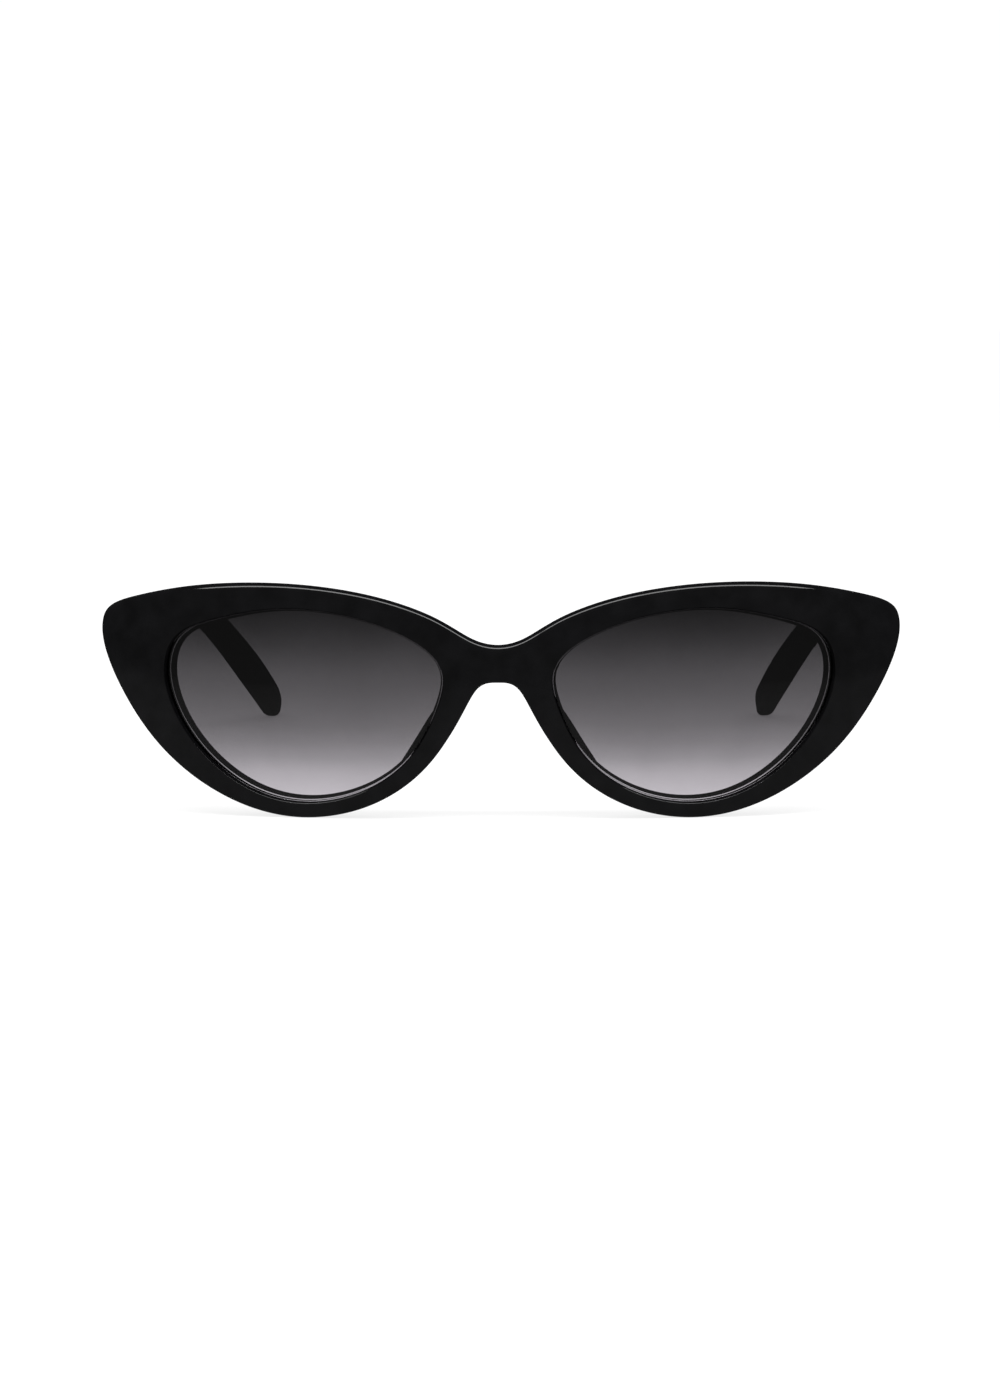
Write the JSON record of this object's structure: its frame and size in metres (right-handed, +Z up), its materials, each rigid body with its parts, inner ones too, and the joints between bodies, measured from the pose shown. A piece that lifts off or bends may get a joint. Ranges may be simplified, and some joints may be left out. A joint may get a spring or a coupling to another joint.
{
  "type": "cat eye sunglasses",
  "caption": "Cat eye sunglasses with a thick curved plastic front, gradient tinted lenses and folding temples that drop to paddle tips.",
  "frame": {"origin": "on the surface the open sunglasses stand on, under the middle of their bounding box", "axes": "+Z up; the front faces -Y and the temples run back along +Y; +X is the wearer's left"},
  "size_m": [0.1446, 0.1534, 0.0419],
  "materials": {
    "acetate": "polished black cellulose acetate",
    "lens": "smoke tint that fades from near black at the top to pale grey at the bottom",
    "hinge_metal": "tumbled nickel silver",
    "screw_metal": "bright stainless steel",
    "wire_metal": "drawn nickel silver wire"
  },
  "bodies": {
    "front": {"front_frame": "acetate", "lens_left": "lens", "lens_right": "lens", "nose_pad_left": "acetate", "nose_pad_right": "acetate", "hinge_front_left": "hinge_metal", "hinge_front_right": "hinge_metal", "hinge_screw_left": "screw_metal", "hinge_screw_right": "screw_metal"},
    "left_temple": {"temple_left": "acetate", "hinge_temple_left": "hinge_metal", "core_wire_left": "wire_metal"},
    "right_temple": {"temple_right": "acetate", "hinge_temple_right": "hinge_metal", "core_wire_right": "wire_metal"}
  },
  "joints": [
    {"name": "right_temple_fold", "type": "hinge", "parent": "front", "child": "right_temple", "pos_m": [-0.0621, -0.0577, 0.03215], "axis": [0, 0, -1], "range_deg": [0, 88]},
    {"name": "left_temple_fold", "type": "hinge", "parent": "front", "child": "left_temple", "pos_m": [0.0621, -0.0577, 0.03215], "axis": [0, 0, 1], "range_deg": [0, 78]}
  ]
}
